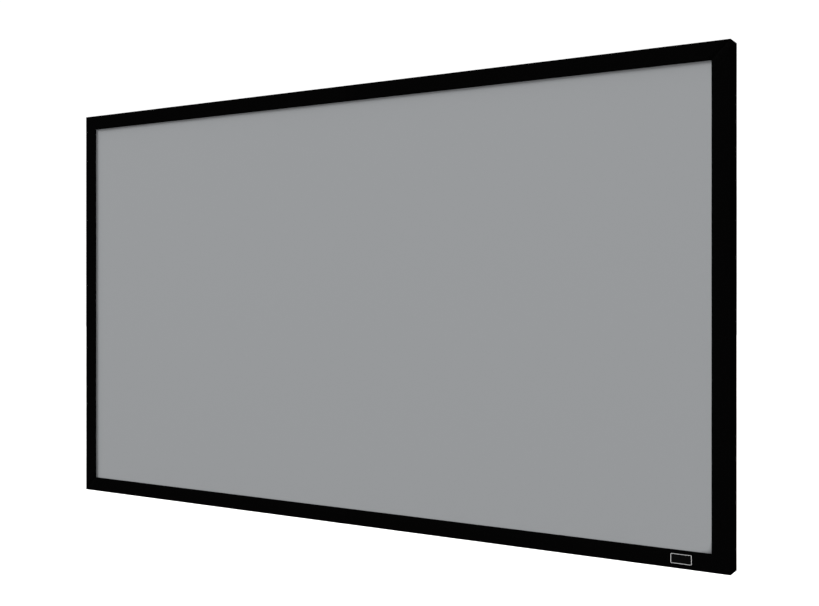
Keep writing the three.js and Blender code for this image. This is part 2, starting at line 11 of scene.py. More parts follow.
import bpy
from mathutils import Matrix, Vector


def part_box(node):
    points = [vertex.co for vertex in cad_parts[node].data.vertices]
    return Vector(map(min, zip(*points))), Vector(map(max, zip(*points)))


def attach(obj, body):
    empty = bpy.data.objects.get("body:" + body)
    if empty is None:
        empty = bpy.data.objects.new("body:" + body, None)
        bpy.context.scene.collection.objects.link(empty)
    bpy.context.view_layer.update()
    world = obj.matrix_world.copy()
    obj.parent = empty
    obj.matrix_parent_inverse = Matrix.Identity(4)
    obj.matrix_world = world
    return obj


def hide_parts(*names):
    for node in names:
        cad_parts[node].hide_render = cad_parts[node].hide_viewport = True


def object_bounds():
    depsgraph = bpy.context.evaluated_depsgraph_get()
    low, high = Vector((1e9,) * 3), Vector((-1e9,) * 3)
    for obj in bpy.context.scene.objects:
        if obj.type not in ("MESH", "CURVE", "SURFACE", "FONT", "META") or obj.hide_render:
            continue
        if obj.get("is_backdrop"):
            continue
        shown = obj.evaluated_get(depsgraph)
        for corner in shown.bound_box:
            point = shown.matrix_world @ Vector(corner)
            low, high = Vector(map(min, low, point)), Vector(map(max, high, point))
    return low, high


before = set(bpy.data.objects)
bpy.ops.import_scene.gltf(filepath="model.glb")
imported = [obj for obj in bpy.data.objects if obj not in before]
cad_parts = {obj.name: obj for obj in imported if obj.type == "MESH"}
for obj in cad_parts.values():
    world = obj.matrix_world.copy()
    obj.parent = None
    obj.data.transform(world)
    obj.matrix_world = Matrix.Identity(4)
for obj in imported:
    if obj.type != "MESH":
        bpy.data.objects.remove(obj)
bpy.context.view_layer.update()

import bmesh
import bpy
import numpy as np
from mathutils import Vector

MM = 0.001  # every length below is in metres

# %% [markdown]
# ## Finding our way round the frame
#
# All four sides of the frame are made alike, so it saves work to describe a side once. A place on a
# side is given by three lengths: s along the side from its middle, u inwards from the frame's outer
# edge, and v backwards from the velvet's front. One function turns these into X, Y and Z. The same
# section drawn in u and v then serves the top, the bottom, the left and the right.

# %% The four sides
velvet_low, velvet_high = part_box("velvet_left")
FRONT = velvet_low.y
LEFT, RIGHT = velvet_low.x, -velvet_low.x
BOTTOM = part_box("velvet_bottom_left")[0].z
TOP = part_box("velvet_top_left")[1].z
MIDDLE_Z = (TOP + BOTTOM) / 2
WIDTH, HEIGHT = RIGHT - LEFT, TOP - BOTTOM
SIDE_LENGTH = {"top": WIDTH, "bottom": WIDTH, "left": HEIGHT, "right": HEIGHT}

# for each side, in X and Z: the middle of its outer edge, the way along it and the way inwards
SIDES = {
    "top": ((0, TOP), (1, 0), (0, -1)),
    "right": ((RIGHT, MIDDLE_Z), (0, -1), (-1, 0)),
    "bottom": ((0, BOTTOM), (-1, 0), (0, 1)),
    "left": ((LEFT, MIDDLE_Z), (0, 1), (1, 0)),
}


def place(side, s, u, v):
    """X, Y and Z of a place on a side: the middle of its outer edge, plus s times the direction along
    the side, plus u times the direction inwards; Y is the velvet's front plus v."""
    (x, z), along, inward = SIDES[side]
    s, u, v = np.broadcast_arrays(s, u, v)
    across = x + along[0] * s + inward[0] * u
    up = z + along[1] * s + inward[1] * u
    return np.stack([across, FRONT + v, up], axis=-1)


print(f"the frame is {WIDTH:.3f} m wide and {HEIGHT:.3f} m high")

# %% [markdown]
# ## From a grid of points to a mesh
#
# Nearly every new piece is a grid of points: one direction runs along the piece and the other runs
# round its section. Neighbouring points are joined by four-sided faces. Two such grids with a rim
# between them make a wall with a thickness, and a grid that closes on itself makes a tube.


# %% Faces between the points of a grid
def grid_faces(rows, columns, first=0, closed=False):
    """Four-sided faces of a grid whose points are numbered row by row from first. The last column
    joins the first one if closed."""
    r = np.arange(rows - 1)[:, None]
    c = np.arange(columns if closed else columns - 1)[None, :]
    after = (c + 1) % columns
    corners = [r * columns + c, r * columns + after, (r + 1) * columns + after, (r + 1) * columns + c]
    return first + np.stack(corners, axis=-1).reshape(-1, 4)


def wall_faces(rows, columns):
    """Faces of a closed wall between two grids of the same size, the outer one numbered first: both
    grids, the inner one turned over, and a rim of faces along each of the four edges."""
    count = rows * columns
    number = np.arange(count).reshape(rows, columns)
    edge = np.concatenate([number[0], number[1:, -1], number[-1, -2::-1], number[-2:0:-1, 0]])
    after = np.roll(edge, -1)
    rim = np.stack([after, edge, edge + count, after + count], axis=-1)
    return np.concatenate([grid_faces(rows, columns), grid_faces(rows, columns, count)[:, ::-1], rim])


def tube_faces(rows, columns, first=0):
    """Faces of a tube with closed ends: a grid that closes on itself, and then a lid on each end."""
    first_ring = first + np.arange(columns)
    last_ring = first_ring + (rows - 1) * columns
    lids = [first_ring[::-1].tolist(), last_ring.tolist()]
    return grid_faces(rows, columns, first, closed=True).tolist() + lids


# %% Adding a mesh to the frame
SHARP = 40  # degrees between two faces from which their edge looks sharp


def add_piece(name, points, faces, materials, stands_for, sharp=SHARP):
    """A named mesh of points and faces that look outwards, smooth except at edges sharper than sharp
    degrees. It hangs on the frame and stands for the plain solids it is given."""
    mesh = bpy.data.meshes.new(name)
    mesh.from_pydata(np.asarray(points).reshape(-1, 3).tolist(), [], [list(face) for face in faces])
    shape = bmesh.new()
    shape.from_mesh(mesh)
    if shape.calc_volume(signed=True) < 0:
        bmesh.ops.reverse_faces(shape, faces=shape.faces)
    shape.to_mesh(mesh)
    shape.free()
    mesh.polygons.foreach_set("use_smooth", np.ones(len(mesh.polygons), bool))
    mesh.set_sharp_from_angle(angle=np.radians(sharp))
    for material in materials:
        mesh.materials.append(material)
    piece = bpy.data.objects.new(name, mesh)
    bpy.context.scene.collection.objects.link(piece)
    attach(piece, "root")
    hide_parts(*stands_for)
    print(f"{name}: {len(mesh.vertices)} points, {len(mesh.polygons)} faces")
    return piece


# %% [markdown]
# ## The tools for a finish
#
# A finish is a Principled shader with a little life in it: a colour that drifts, a roughness that
# isn't quite even, a surface that isn't quite flat. Noise gives all of these. It is read at the
# object's own coordinates, so its size is a real length, and stretching it along one axis gives the
# fine lines of drawn or extruded metal.


# %% Helpers for materials
def new_finish(name, colour, roughness, metallic=0.0, specular=0.5):
    """A material with one Principled shader, and the shader."""
    material = bpy.data.materials.new(name)
    material.use_nodes = True
    shader = material.node_tree.nodes["Principled BSDF"]
    shader.inputs["Base Color"].default_value = (*colour, 1)
    shader.inputs["Roughness"].default_value = roughness
    shader.inputs["Metallic"].default_value = metallic
    shader.inputs["Specular IOR Level"].default_value = specular
    return material, shader


def noise(material, size, stretch=(1, 1, 1), detail=2.0):
    """Cloudy noise from 0 to 1 with blobs of about size metres, made longer along X, Y or Z by
    stretch: the coordinates are divided by size and stretch before the texture reads them."""
    tree = material.node_tree
    coordinates = tree.nodes.new("ShaderNodeTexCoord")
    mapping = tree.nodes.new("ShaderNodeMapping")
    mapping.inputs["Scale"].default_value = [1 / (size * times) for times in stretch]
    texture = tree.nodes.new("ShaderNodeTexNoise")
    texture.inputs["Scale"].default_value = 1.0
    texture.inputs["Detail"].default_value = detail
    tree.links.new(coordinates.outputs["Object"], mapping.inputs["Vector"])
    tree.links.new(mapping.outputs["Vector"], texture.inputs["Vector"])
    return texture.outputs["Fac"]


NOISE_LOW, NOISE_HIGH = 0.3, 0.7  # the noise seldom leaves this range


def drift_colour(material, shader, factor, low, high):
    """Lets the base colour go from low to high as factor goes from NOISE_LOW to NOISE_HIGH."""
    tree = material.node_tree
    ramp = tree.nodes.new("ShaderNodeValToRGB")
    dark_end, light_end = ramp.color_ramp.elements
    dark_end.position = NOISE_LOW
    dark_end.color = (*low, 1)
    light_end.position = NOISE_HIGH
    light_end.color = (*high, 1)
    tree.links.new(factor, ramp.inputs["Fac"])
    tree.links.new(ramp.outputs["Color"], shader.inputs["Base Color"])


def drift_roughness(material, shader, factor, low, high):
    """Lets the roughness go from low to high as factor goes from NOISE_LOW to NOISE_HIGH."""
    tree = material.node_tree
    spread = tree.nodes.new("ShaderNodeMapRange")
    spread.inputs["From Min"].default_value = NOISE_LOW
    spread.inputs["From Max"].default_value = NOISE_HIGH
    spread.inputs["To Min"].default_value = low
    spread.inputs["To Max"].default_value = high
    tree.links.new(factor, spread.inputs["Value"])
    tree.links.new(spread.outputs["Result"], shader.inputs["Roughness"])


def roughen(material, shader, height, depth):
    """Bumps the surface by depth metres where height goes from 0 to 1."""
    tree = material.node_tree
    bump = tree.nodes.new("ShaderNodeBump")
    bump.inputs["Strength"].default_value = 1.0
    bump.inputs["Distance"].default_value = depth
    tree.links.new(height, bump.inputs["Height"])
    tree.links.new(bump.outputs["Normal"], shader.inputs["Normal"])


def as_seen(red, green, blue):
    """The light that a colour of 0 to 255 on a display stands for: (value / 255) to the power 2.2,
    or more exactly the display's own curve."""
    value = np.array([red, green, blue]) / 255
    return tuple(np.where(value <= 0.04045, value / 12.92, ((value + 0.055) / 1.055) ** 2.4))


print("a grey that is seen as 128 of 255 sends back", round(as_seen(128, 128, 128)[0], 3), "of the light")

# %% [markdown]
# ## Black velvet
#
# The velvet is there to stay dark, so its base colour is almost nothing. What tells it from black
# paint is the pile: short fibres that lean a little this way and that, in tufts of a few
# millimetres, and that catch light only when one looks along the surface. A small amount of sheen
# does the second, and two sizes of noise do the first. There is hardly any gloss.

# %% Velvet finish
velvet, shader = new_finish("black_velvet", as_seen(4, 4, 4), 1.0, specular=0.0)
shader.inputs["Sheen Weight"].default_value = 0.002
shader.inputs["Sheen Roughness"].default_value = 0.45
tufts = noise(velvet, 3 * MM, detail=6)
pile = noise(velvet, 0.5 * MM, detail=3)
drift_colour(velvet, shader, tufts, as_seen(0.6, 0.6, 0.7), as_seen(8, 7.8, 7.8))
roughen(velvet, shader, pile, 0.25 * MM)
print("black_velvet sends back", round(as_seen(4, 4, 4)[0], 5), "of the light")

# %% [markdown]
# ## The projection fabric's two faces
#
# The front is a matt grey coating with a grain much finer than a pixel of the picture, so it looks
# perfectly even from a seat. The back is a charcoal layer that stops light from passing through.

# %% Fabric finishes
GREY = np.array(as_seen(151, 153, 155))
GRAIN = 0.015  # how much darker or lighter than GREY a grain is
front_coating, shader = new_finish("grey_coating", GREY, 0.9, specular=0.02)
grain = noise(front_coating, 0.9 * MM, detail=3)
drift_colour(front_coating, shader, grain, (1 - GRAIN) * GREY, (1 + GRAIN) * GREY)
roughen(front_coating, shader, grain, 0.01 * MM)
print("grey_coating sends back", np.round(GREY, 3), "of the red, green and blue light")

backing, shader = new_finish("charcoal_backing", as_seen(63, 64, 65), 0.8, specular=0.2)
threads = noise(backing, 0.7 * MM, detail=4)
drift_colour(backing, shader, threads, as_seen(57, 58, 59), as_seen(69, 70, 71))
roughen(backing, shader, threads, 0.05 * MM)

# %% [markdown]
# ## Metal finishes
#
# The rails are extruded and then anodised clear: the die leaves hairlines along their length. The
# plates are zinc plated, which leaves a cloudy, slightly blue silver. The wall brackets wear a
# powder coat with a skin like an orange's, and the set screws are blackened. The springs and rods
# are bright drawn steel.


# %% Clear anodised aluminium
def extruded(name, stretch):
    """Clear anodised aluminium with hairlines along the axis that stretch makes long."""
    material, shader = new_finish(name, as_seen(164, 166, 169), 0.42, metallic=1.0)
    lines = noise(material, 0.35 * MM, stretch=stretch)
    shades = noise(material, 60 * MM)
    drift_colour(material, shader, shades, as_seen(157, 159, 162), as_seen(171, 173, 175))
    drift_roughness(material, shader, lines, 0.34, 0.5)
    roughen(material, shader, lines, 0.006 * MM)
    return material


LONG = 400  # how many times longer than wide a hairline is
aluminium_across = extruded("anodised_across", (LONG, 1, 1))
aluminium_upright = extruded("anodised_upright", (1, 1, LONG))
print("hairlines along X on", aluminium_across.name, "and along Z on", aluminium_upright.name)

# %% Zinc plating, powder coat and black oxide
zinc, shader = new_finish("zinc_plating", as_seen(186, 190, 196), 0.34, metallic=1.0)
clouds = noise(zinc, 6 * MM, detail=5)
drift_colour(zinc, shader, clouds, as_seen(172, 178, 186), as_seen(198, 200, 202))
drift_roughness(zinc, shader, clouds, 0.26, 0.44)

powder, shader = new_finish("black_powder_coat", as_seen(17, 17, 18), 0.5, specular=0.3)
skin = noise(powder, 0.55 * MM, detail=1)
drift_colour(powder, shader, noise(powder, 20 * MM), as_seen(14, 14, 15), as_seen(20, 20, 21))
drift_roughness(powder, shader, skin, 0.42, 0.6)
roughen(powder, shader, skin, 0.02 * MM)

oxide, shader = new_finish("black_oxide", as_seen(36, 35, 37), 0.38, metallic=0.8)
drift_roughness(oxide, shader, noise(oxide, 1.5 * MM), 0.3, 0.5)
print(zinc.name, powder.name, oxide.name)

# %% Drawn steel
drawn_steel, shader = new_finish("drawn_steel", as_seen(205, 205, 204), 0.22, metallic=1.0)
scratches = noise(drawn_steel, 0.3 * MM, stretch=(8, 1, 8))
shades = noise(drawn_steel, 12 * MM)
drift_colour(drawn_steel, shader, shades, as_seen(190, 190, 190), as_seen(215, 214, 212))
drift_roughness(drawn_steel, shader, scratches, 0.16, 0.32)
print(len(bpy.data.materials), "materials so far")

# %% [markdown]
# ## Finishing the metal parts
#
# The rails, plates, bar, feet and brackets already have their true shape. Real metal never has a
# perfectly sharp edge, and it is the small round on each edge that catches the light. Weld joins
# the loose triangles, and Bevel rounds every edge where two faces meet at more than 30 degrees.


# %% Rounded edges and a finish for each metal part
MERGE = 0.001 * MM  # corners that lie this close together are the same corner
ROUND_FROM = 30  # degrees between two faces from which their edge is rounded


def finish_metal(name, material, edge):
    """Gives a ready-made part its material and rounds its edges by edge metres."""
    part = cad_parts[name]
    for material_slot in part.material_slots:
        material_slot.material = material
    weld = part.modifiers.new("weld", "WELD")
    weld.merge_threshold = MERGE
    bevel = part.modifiers.new("rounded_edges", "BEVEL")
    bevel.width = edge
    bevel.segments = 2
    bevel.limit_method = "ANGLE"
    bevel.angle_limit = np.radians(ROUND_FROM)
    bevel.use_clamp_overlap = True


# how the names start, the finish, and the size of the rounded edge
METAL_PARTS = [
    (("rail_top", "rail_bottom"), aluminium_across, 0.3 * MM),
    (("rail_left", "rail_right"), aluminium_upright, 0.3 * MM),
    (("support_bar",), aluminium_upright, 0.4 * MM),
    (("corner_plate", "splice_plate"), zinc, 0.3 * MM),
    (("wall_bracket", "bar_foot"), powder, 0.25 * MM),
]
for starts, material, edge in METAL_PARTS:
    parts = [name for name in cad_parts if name.startswith(starts)]
    for name in parts:
        finish_metal(name, material, edge)
    print(len(parts), "parts in", material.name)

# %% [markdown]
# ## The velvet wraps
#
# Each rail wears one strip of velvet. It starts near the rail's rear edge, goes up the outer side,
# turns over the rounded front corner, crosses the face, rolls round the inner lip and ends on the
# lip's back. Two strips meet at a mitre in each corner, and two more butt at the middle of the top
# and of the bottom. A strip is its section's outer line carried along the rail, with a second line
# inside it for the thickness. Close to a joint the outer line sinks in along a quarter circle, as
# the cut edge of a thick cloth does, so that each joint shows as a fine groove.

# %% Sizes of the wrap
VELVET = 0.8 * MM  # its thickness
WRAP_END = velvet_high.y - FRONT  # how far back the velvet reaches down the outer side
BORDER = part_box("velvet_left")[1].x - LEFT  # from the outer edge to the picture
CORNER_RADIUS = 2 * MM  # where the outer side meets the face
LIP_RADIUS = 1.2 * MM
LIP_BACK = 4 * MM  # how thick the lip is
LIP_RETURN = 12 * MM  # how far the velvet reaches back behind the lip
JOINT_OVERLAP = 0.04 * MM  # two strips are pressed together, so that no metal shows between them
JOINT_ROUND = 0.6 * MM  # radius of the velvet's cut edge
WRAP_SPACING = 24 * MM  # between two sections along a rail
print(f"the border is {BORDER / MM:.0f} mm wide and the velvet reaches {WRAP_END / MM:.0f} mm back")


# %% Arcs and straight lines
def arc(u, v, radius, start, end, steps):
    """Points on a circle: its middle plus radius times the cosine and the sine of an angle that goes
    from start to end degrees."""
    angle = np.radians(np.linspace(start, end, steps + 1))
    return np.stack([u + radius * np.cos(angle), v + radius * np.sin(angle)], axis=-1)


def straight(start, end, steps):
    """Points evenly between two places, without the two themselves."""
    share = np.linspace(0, 1, steps + 2)[1:-1, None]
    return np.array(start) * (1 - share) + np.array(end) * share


# %% The wrap's section
FLAT_STEPS = 6  # points on the outer side, and as many on the face
CORNER_STEPS = 10
LIP_STEPS = 6  # on each of the lip's two quarter circles
RETURN_STEPS = 2  # behind the lip


def wrap_section():
    """The wrap's outer line, from the rear of the outer side to its end behind the lip, and at each
    point the direction into the rail: the line's own direction turned by a quarter turn."""
    edge = BORDER - LIP_RADIUS
    line = np.concatenate([
        [(0, WRAP_END)],
        straight((0, WRAP_END), (0, CORNER_RADIUS), FLAT_STEPS),
        arc(CORNER_RADIUS, CORNER_RADIUS, CORNER_RADIUS, 180, 270, CORNER_STEPS),
        straight((CORNER_RADIUS, 0), (edge, 0), FLAT_STEPS),
        arc(edge, LIP_RADIUS, LIP_RADIUS, 270, 360, LIP_STEPS),
        arc(edge, LIP_BACK - LIP_RADIUS, LIP_RADIUS, 0, 90, LIP_STEPS),
        straight((edge, LIP_BACK), (BORDER - LIP_RETURN, LIP_BACK), RETURN_STEPS),
        [(BORDER - LIP_RETURN, LIP_BACK)],
    ])
    ahead = np.gradient(line, axis=0)
    ahead /= np.linalg.norm(ahead, axis=1, keepdims=True)
    return line, np.stack([-ahead[:, 1], ahead[:, 0]], axis=-1)


print("the wrap's section has", len(wrap_section()[0]), "points")


# %% Where the section is repeated along a rail
JOINT_SHARES = np.array([0, 0.08, 0.25, 0.55, 1])  # of JOINT_ROUND, from a joint inwards


def joint_stations(start, end):
    """Where the section is repeated, as a share of the way and an extra step in metres: close
    together at both joints and WRAP_SPACING apart between them. Also how far the velvet sinks in
    there: radius minus the root of (radius squared minus (radius minus step) squared)."""
    steps = JOINT_ROUND * JOINT_SHARES
    sink = JOINT_ROUND - np.sqrt(JOINT_ROUND**2 - (JOINT_ROUND - steps) ** 2)
    between = np.linspace(0, 1, int((end - start) / WRAP_SPACING))[1:-1]
    nothing = np.zeros_like(between)
    share = np.concatenate([np.zeros_like(steps), between, np.ones_like(steps)])
    extra = np.concatenate([steps, nothing, -steps[::-1]])
    return share, extra, np.concatenate([sink, nothing, sink[::-1]])


# %% Carrying the section along a rail
CUT_EDGE = 0.9  # how much of its quarter circle a cut edge sinks in
SWELL = 0.06 * MM  # height of each wave
SHORT_WAVE, LONG_WAVE = 37 * MM, 101 * MM  # how far each wave runs in one radian
WAVE_LEAD = 2  # radians that the long wave is ahead


def velvet_wrap(name, side, start, end, mitre_start, mitre_end):
    """The strip on one rail. A point that lies u inwards begins u further along at a mitre, so the
    end is cut at 45 degrees. The velvet's surface swells and dips by a tenth of a millimetre, a sum
    of two sines of the place along the rail."""
    line, inward = wrap_section()
    share, extra, sink = (values[:, None] for values in joint_stations(start, end))
    way = share * (end - start)
    swell = SWELL * (np.sin(way / SHORT_WAVE) + np.sin(way / LONG_WAVE + WAVE_LEAD))
    surface = sink * CUT_EDGE - swell * (sink == 0)
    underside = np.full_like(sink, VELVET)
    grids = []
    for depth in (surface, underside):
        u = line[:, 0] + inward[:, 0] * depth
        v = line[:, 1] + inward[:, 1] * depth
        first = start + (u if mitre_start else 0)
        last = end - (u if mitre_end else 0)
        grids.append(place(side, first + (last - first) * share + extra, u, v))
    points = np.stack(grids)
    faces = wall_faces(*grids[0].shape[:2])
    return add_piece(f"velvet_wrap_{name}", points, faces, [velvet], [f"velvet_{name}"])


# %% The six wraps
overlap = JOINT_OVERLAP / 2
for side in ("left", "right"):
    half = SIDE_LENGTH[side] / 2 + overlap
    velvet_wrap(side, side, -half, half, mitre_start=True, mitre_end=True)
for side, first, second in (("top", "top_left", "top_right"), ("bottom", "bottom_right", "bottom_left")):
    half = SIDE_LENGTH[side] / 2 + overlap
    velvet_wrap(first, side, -half, overlap, mitre_start=True, mitre_end=False)
    velvet_wrap(second, side, -overlap, half, mitre_start=False, mitre_end=True)

# %% [markdown]
# ## How the fabric is held
#
# The fabric has a hem along each side with a steel rod inside it. Springs hook round the rod, pull
# it towards the rail and hook over a rib there. They stand evenly along the side, an even number of
# them. Between two springs the rod gives way a little, so the hem's edge runs in shallow scallops.
# That curve is one formula, and the hem and the rod both use it, so they always agree.

# %% Sizes of the hem, the rods and the springs
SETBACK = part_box("projection_fabric")[0].y - FRONT  # from the velvet's front to the fabric's
FABRIC = 0.5 * MM  # its thickness
ROD_RADIUS = 2.5 * MM
ROD_PLAY = 0.3 * MM  # between the rod and the hem
ROD_IN = BORDER - 16 * MM  # from the outer edge to the rod's middle
HEM_RADIUS = ROD_RADIUS + ROD_PLAY + FABRIC
ROD_BACK = SETBACK + HEM_RADIUS
ROD_END = 72 * MM  # from the frame's outer corner to the rod's end
SHEET_IN = BORDER - 10 * MM  # from the outer edge to the flat panel's edge
HEM_TURN = 210  # degrees that a flap turns round its rod
SPRING_END = 150 * MM  # from the frame's outer corner to the first spring
SPRING_SPACING = 190 * MM  # about how far the springs are apart
SCALLOP = 0.5 * MM  # how far the hem gives way between two springs


def spring_places(side):
    """Places of the springs along a side: an even number of them, evenly from end to end."""
    run = SIDE_LENGTH[side] - 2 * SPRING_END
    count = 2 * max(1, round(run / SPRING_SPACING / 2))
    return np.linspace(-run / 2, run / 2, count)


def scallop(side, s):
    """How far the hem lies towards the picture: nothing at a spring, SCALLOP halfway between two,
    as half of SCALLOP times (1 minus the cosine of the way from spring to spring)."""
    places = spring_places(side)
    return SCALLOP / 2 * (1 - np.cos(2 * np.pi * (s - places[0]) / (places[1] - places[0])))


print({side: len(spring_places(side)) for side in SIDES}, "springs")

# %% [markdown]
# ## The projection fabric
#
# The cloth is one open surface: a flat panel and four flaps. Each flap leaves the panel, wraps
# round its rod and comes back to be welded to the panel's rear. The panel's grid lines are put
# where the flaps' are, so that the two share their points and can be merged. A few faces are left
# out of a flap at each spring: that is the window that the hook passes through. Solidify then gives
# the cloth its half millimetre, and puts the charcoal backing on the inside.

# %% The flap's section
WELD = (11 * MM, 12.5 * MM, 14 * MM)  # from the rod's middle to the weld's start, middle and end
WELD_GAP = 0.05 * MM
HEM_STEPS = 14  # on the arc round the rod
RETURN_SHARES = (0.42, 0.7)  # points on the way from the arc back to the weld


def flap_section():
    """The flap's outer line in u and v: from the panel's edge out to the rod, round it on an arc, and
    back in a straight line to a strip that lies on the panel's rear."""
    back = SETBACK + 2 * FABRIC + WELD_GAP
    wrap = arc(ROD_IN, ROD_BACK, HEM_RADIUS, 270, 270 - HEM_TURN, HEM_STEPS)
    weld = np.array([(ROD_IN + inwards, back) for inwards in WELD])
    way_back = [wrap[-1] + (weld[0] - wrap[-1]) * share for share in RETURN_SHARES]
    return np.concatenate([[(SHEET_IN, SETBACK)], wrap, way_back, weld])


print("the flap's section has", len(flap_section()), "points")


# %% The flap and its windows
WINDOW = 8 * MM
WINDOW_FROM = 4  # a window reaches from this point of the section
WINDOW_TO = HEM_STEPS + 2  # to this one, the first on the way back to the weld
HEM_SHORTER = 0.3 * MM  # how much shorter than its rod a hem is at each end
BETWEEN_WINDOWS = (0.15, 0.3, 0.5, 0.7, 0.85)  # grid lines from spring to spring
DECIMALS = 7  # grid lines that agree to so many decimals are one


def flap_stations(side):
    """Grid lines along a flap: both edges of each window, its middle, and others in between."""
    places = spring_places(side)
    half = SIDE_LENGTH[side] / 2 - ROD_END - HEM_SHORTER
    windows = np.concatenate([places - WINDOW / 2, places, places + WINDOW / 2])
    step = places[1] - places[0]
    between = np.concatenate([places[:-1] + step * share for share in BETWEEN_WINDOWS])
    return np.unique(np.round(np.concatenate([[-half, half], windows, between]), DECIMALS))


def flap(side):
    """Points and faces of one flap, with its windows left out. The scallop grows from nothing at the
    panel's edge to its full size at the rod, and stays full to the weld."""
    line = flap_section()
    s = flap_stations(side)
    reach = np.clip((SHEET_IN - line[:, 0]) / (SHEET_IN - ROD_IN), 0, 1)
    reach[WINDOW_TO:] = 1
    u = line[:, 0] + scallop(side, s)[:, None] * reach
    points = place(side, s[:, None], u, line[:, 1])
    faces = grid_faces(len(s), len(line))
    row, column = np.divmod(faces[:, 0], len(line))
    middle = (s[row] + s[row + 1]) / 2
    near = np.abs(middle[:, None] - spring_places(side)).min(axis=1) < WINDOW / 2
    opened = near & (column >= WINDOW_FROM) & (column < WINDOW_TO)
    return points.reshape(-1, 3), faces[~opened]


print({side: len(flap(side)[1]) for side in SIDES}, "faces in the flaps")


# %% The panel and the whole cloth
def panel():
    """Points and faces of the flat panel, whose grid lines are those of the flaps."""
    half_width = WIDTH / 2 - SHEET_IN
    half_height = HEIGHT / 2 - SHEET_IN
    x = np.concatenate([[-half_width], flap_stations("top"), [half_width]])
    z = MIDDLE_Z + np.concatenate([[-half_height], flap_stations("left"), [half_height]])
    points = np.stack(np.broadcast_arrays(x[:, None], FRONT + SETBACK, z[None, :]), axis=-1)
    return points.reshape(-1, 3), grid_faces(len(x), len(z))


def projection_cloth():
    """The panel and the flaps as one mesh whose front looks at the viewer."""
    parts = [panel()] + [flap(side) for side in SIDES]
    first = np.cumsum([0] + [len(points) for points, _ in parts])
    points = np.concatenate([points for points, _ in parts])
    faces = np.concatenate([faces + start for (_, faces), start in zip(parts, first)])
    mesh = bpy.data.meshes.new("projection_cloth")
    mesh.from_pydata(points.tolist(), [], faces.tolist())
    shape = bmesh.new()
    shape.from_mesh(mesh)
    bmesh.ops.remove_doubles(shape, verts=shape.verts, dist=0.01 * MM)
    bmesh.ops.recalc_face_normals(shape, faces=shape.faces)
    widest = max(shape.faces, key=lambda face: face.calc_area())
    if widest.normal.y > 0:
        bmesh.ops.reverse_faces(shape, faces=shape.faces)
    shape.to_mesh(mesh)
    shape.free()
    mesh.polygons.foreach_set("use_smooth", np.ones(len(mesh.polygons), bool))
    mesh.set_sharp_from_angle(angle=np.radians(SHARP))
    mesh.materials.append(front_coating)
    mesh.materials.append(backing)
    return bpy.data.objects.new("projection_cloth", mesh)


# %% The cloth in the frame
cloth = projection_cloth()
bpy.context.scene.collection.objects.link(cloth)
thickness = cloth.modifiers.new("half_a_millimetre", "SOLIDIFY")
thickness.thickness = FABRIC
thickness.offset = -1
thickness.material_offset = 1
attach(cloth, "root")
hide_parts("projection_fabric")
print("projection_cloth:", len(cloth.data.vertices), "points,", len(cloth.data.polygons), "faces")

# %% [markdown]
# ## The tension rods
#
# A rod is a circle carried along the side, bent by the scallop formula. Its ends are rounded by
# shrinking the circle over the last two millimetres.

# %% Rods
ROD_CAP = 2 * MM  # how long the rounding at an end is
ROD_TIP = np.sqrt(0.02)  # radius of the end's small flat, as a share of the rod's
ROD_STATIONS = 140
ROD_SIDES = 16


def tension_rod(side):
    """A round bar: at each station a ring of points, its middle plus the radius times the cosine
    inwards and the sine backwards. At an end the radius and the place along the side follow a
    quarter circle: the cosine, and 1 minus the sine, of an angle that goes from 90 degrees down."""
    half = SIDE_LENGTH[side] / 2 - ROD_END
    turn = np.radians(np.linspace(90, 8, 6))
    cap = -half + ROD_CAP * (1 - np.sin(turn))
    cap_radius = ROD_RADIUS * np.maximum(np.cos(turn), ROD_TIP)
    middle = np.linspace(-half, half, ROD_STATIONS)[1:-1]
    s = np.concatenate([cap, middle, -cap[::-1]])
    radius = np.concatenate([cap_radius, np.full_like(middle, ROD_RADIUS), cap_radius[::-1]])[:, None]
    angle = np.linspace(0, 2 * np.pi, ROD_SIDES, endpoint=False)[None, :]
    u = ROD_IN + scallop(side, s)[:, None] + radius * np.cos(angle)
    points = place(side, s[:, None], u, ROD_BACK + radius * np.sin(angle))
    name = f"rod_{side}"
    return add_piece(name, points, tube_faces(*points.shape[:2]), [drawn_steel],
                     [f"tension_rod_{side}"])


rods = [tension_rod(side) for side in SIDES]

# %% [markdown]
# ## How large the cloth was cut
#
# A cloth is cut flat and hemmed afterwards, so it was larger than the panel that is left. What one flap
# takes can be measured along its section, in the middle of the cloth, which is the layer that neither
# stretches nor shrinks where the cloth bends; this script doesn't measure it.


# %% [markdown]
# ## The springs
#
# A spring is a single wire. It hooks over the rib's tip, turns towards the rod, winds into a close
# coil, and ends in a second hook round the rod. The wire's middle line is worked out first, as
# points. Then a small circle is carried along it: at each point it stands square to the line, and
# it is kept from twisting by carrying its direction over from the point before.

# %% Sizes of a spring
WIRE = 0.8 * MM  # the wire's radius
COIL_RADIUS = 2.7 * MM  # from the coil's axis to the wire's middle
COIL_TURNS = 7
COIL_START, COIL_END = 26.6 * MM, 38.2 * MM  # from the frame's outer edge
RIB_MIDDLE = 20.8 * MM  # from the frame's outer edge too
RIB_HOOK = 2.0 * MM  # radius of the hook over the rib
RIB_TOP = SETBACK - 0.6 * MM  # depth of the wire's middle where it passes over the rib's tip
HOOK_TIP = SETBACK + 4.5 * MM  # depth at which that hook ends
HOOK_BEND = 1.3 * MM  # radius of the turn from that hook towards the coil
ROD_HOOK = ROD_RADIUS + WIRE + 0.05 * MM  # radius of the hook round the rod
LEAD = 1.2 * MM  # straight wire between the coil and the hook round the rod
print(f"the coil is {(COIL_END - COIL_START) / MM:.1f} mm long, in {COIL_TURNS} turns")

# %% The wire's middle line
COIL_STEPS = 18  # points in a turn
HALF_TURN = 0.5
WIRE_STEP = 0.8 * MM  # between two points of the finished line


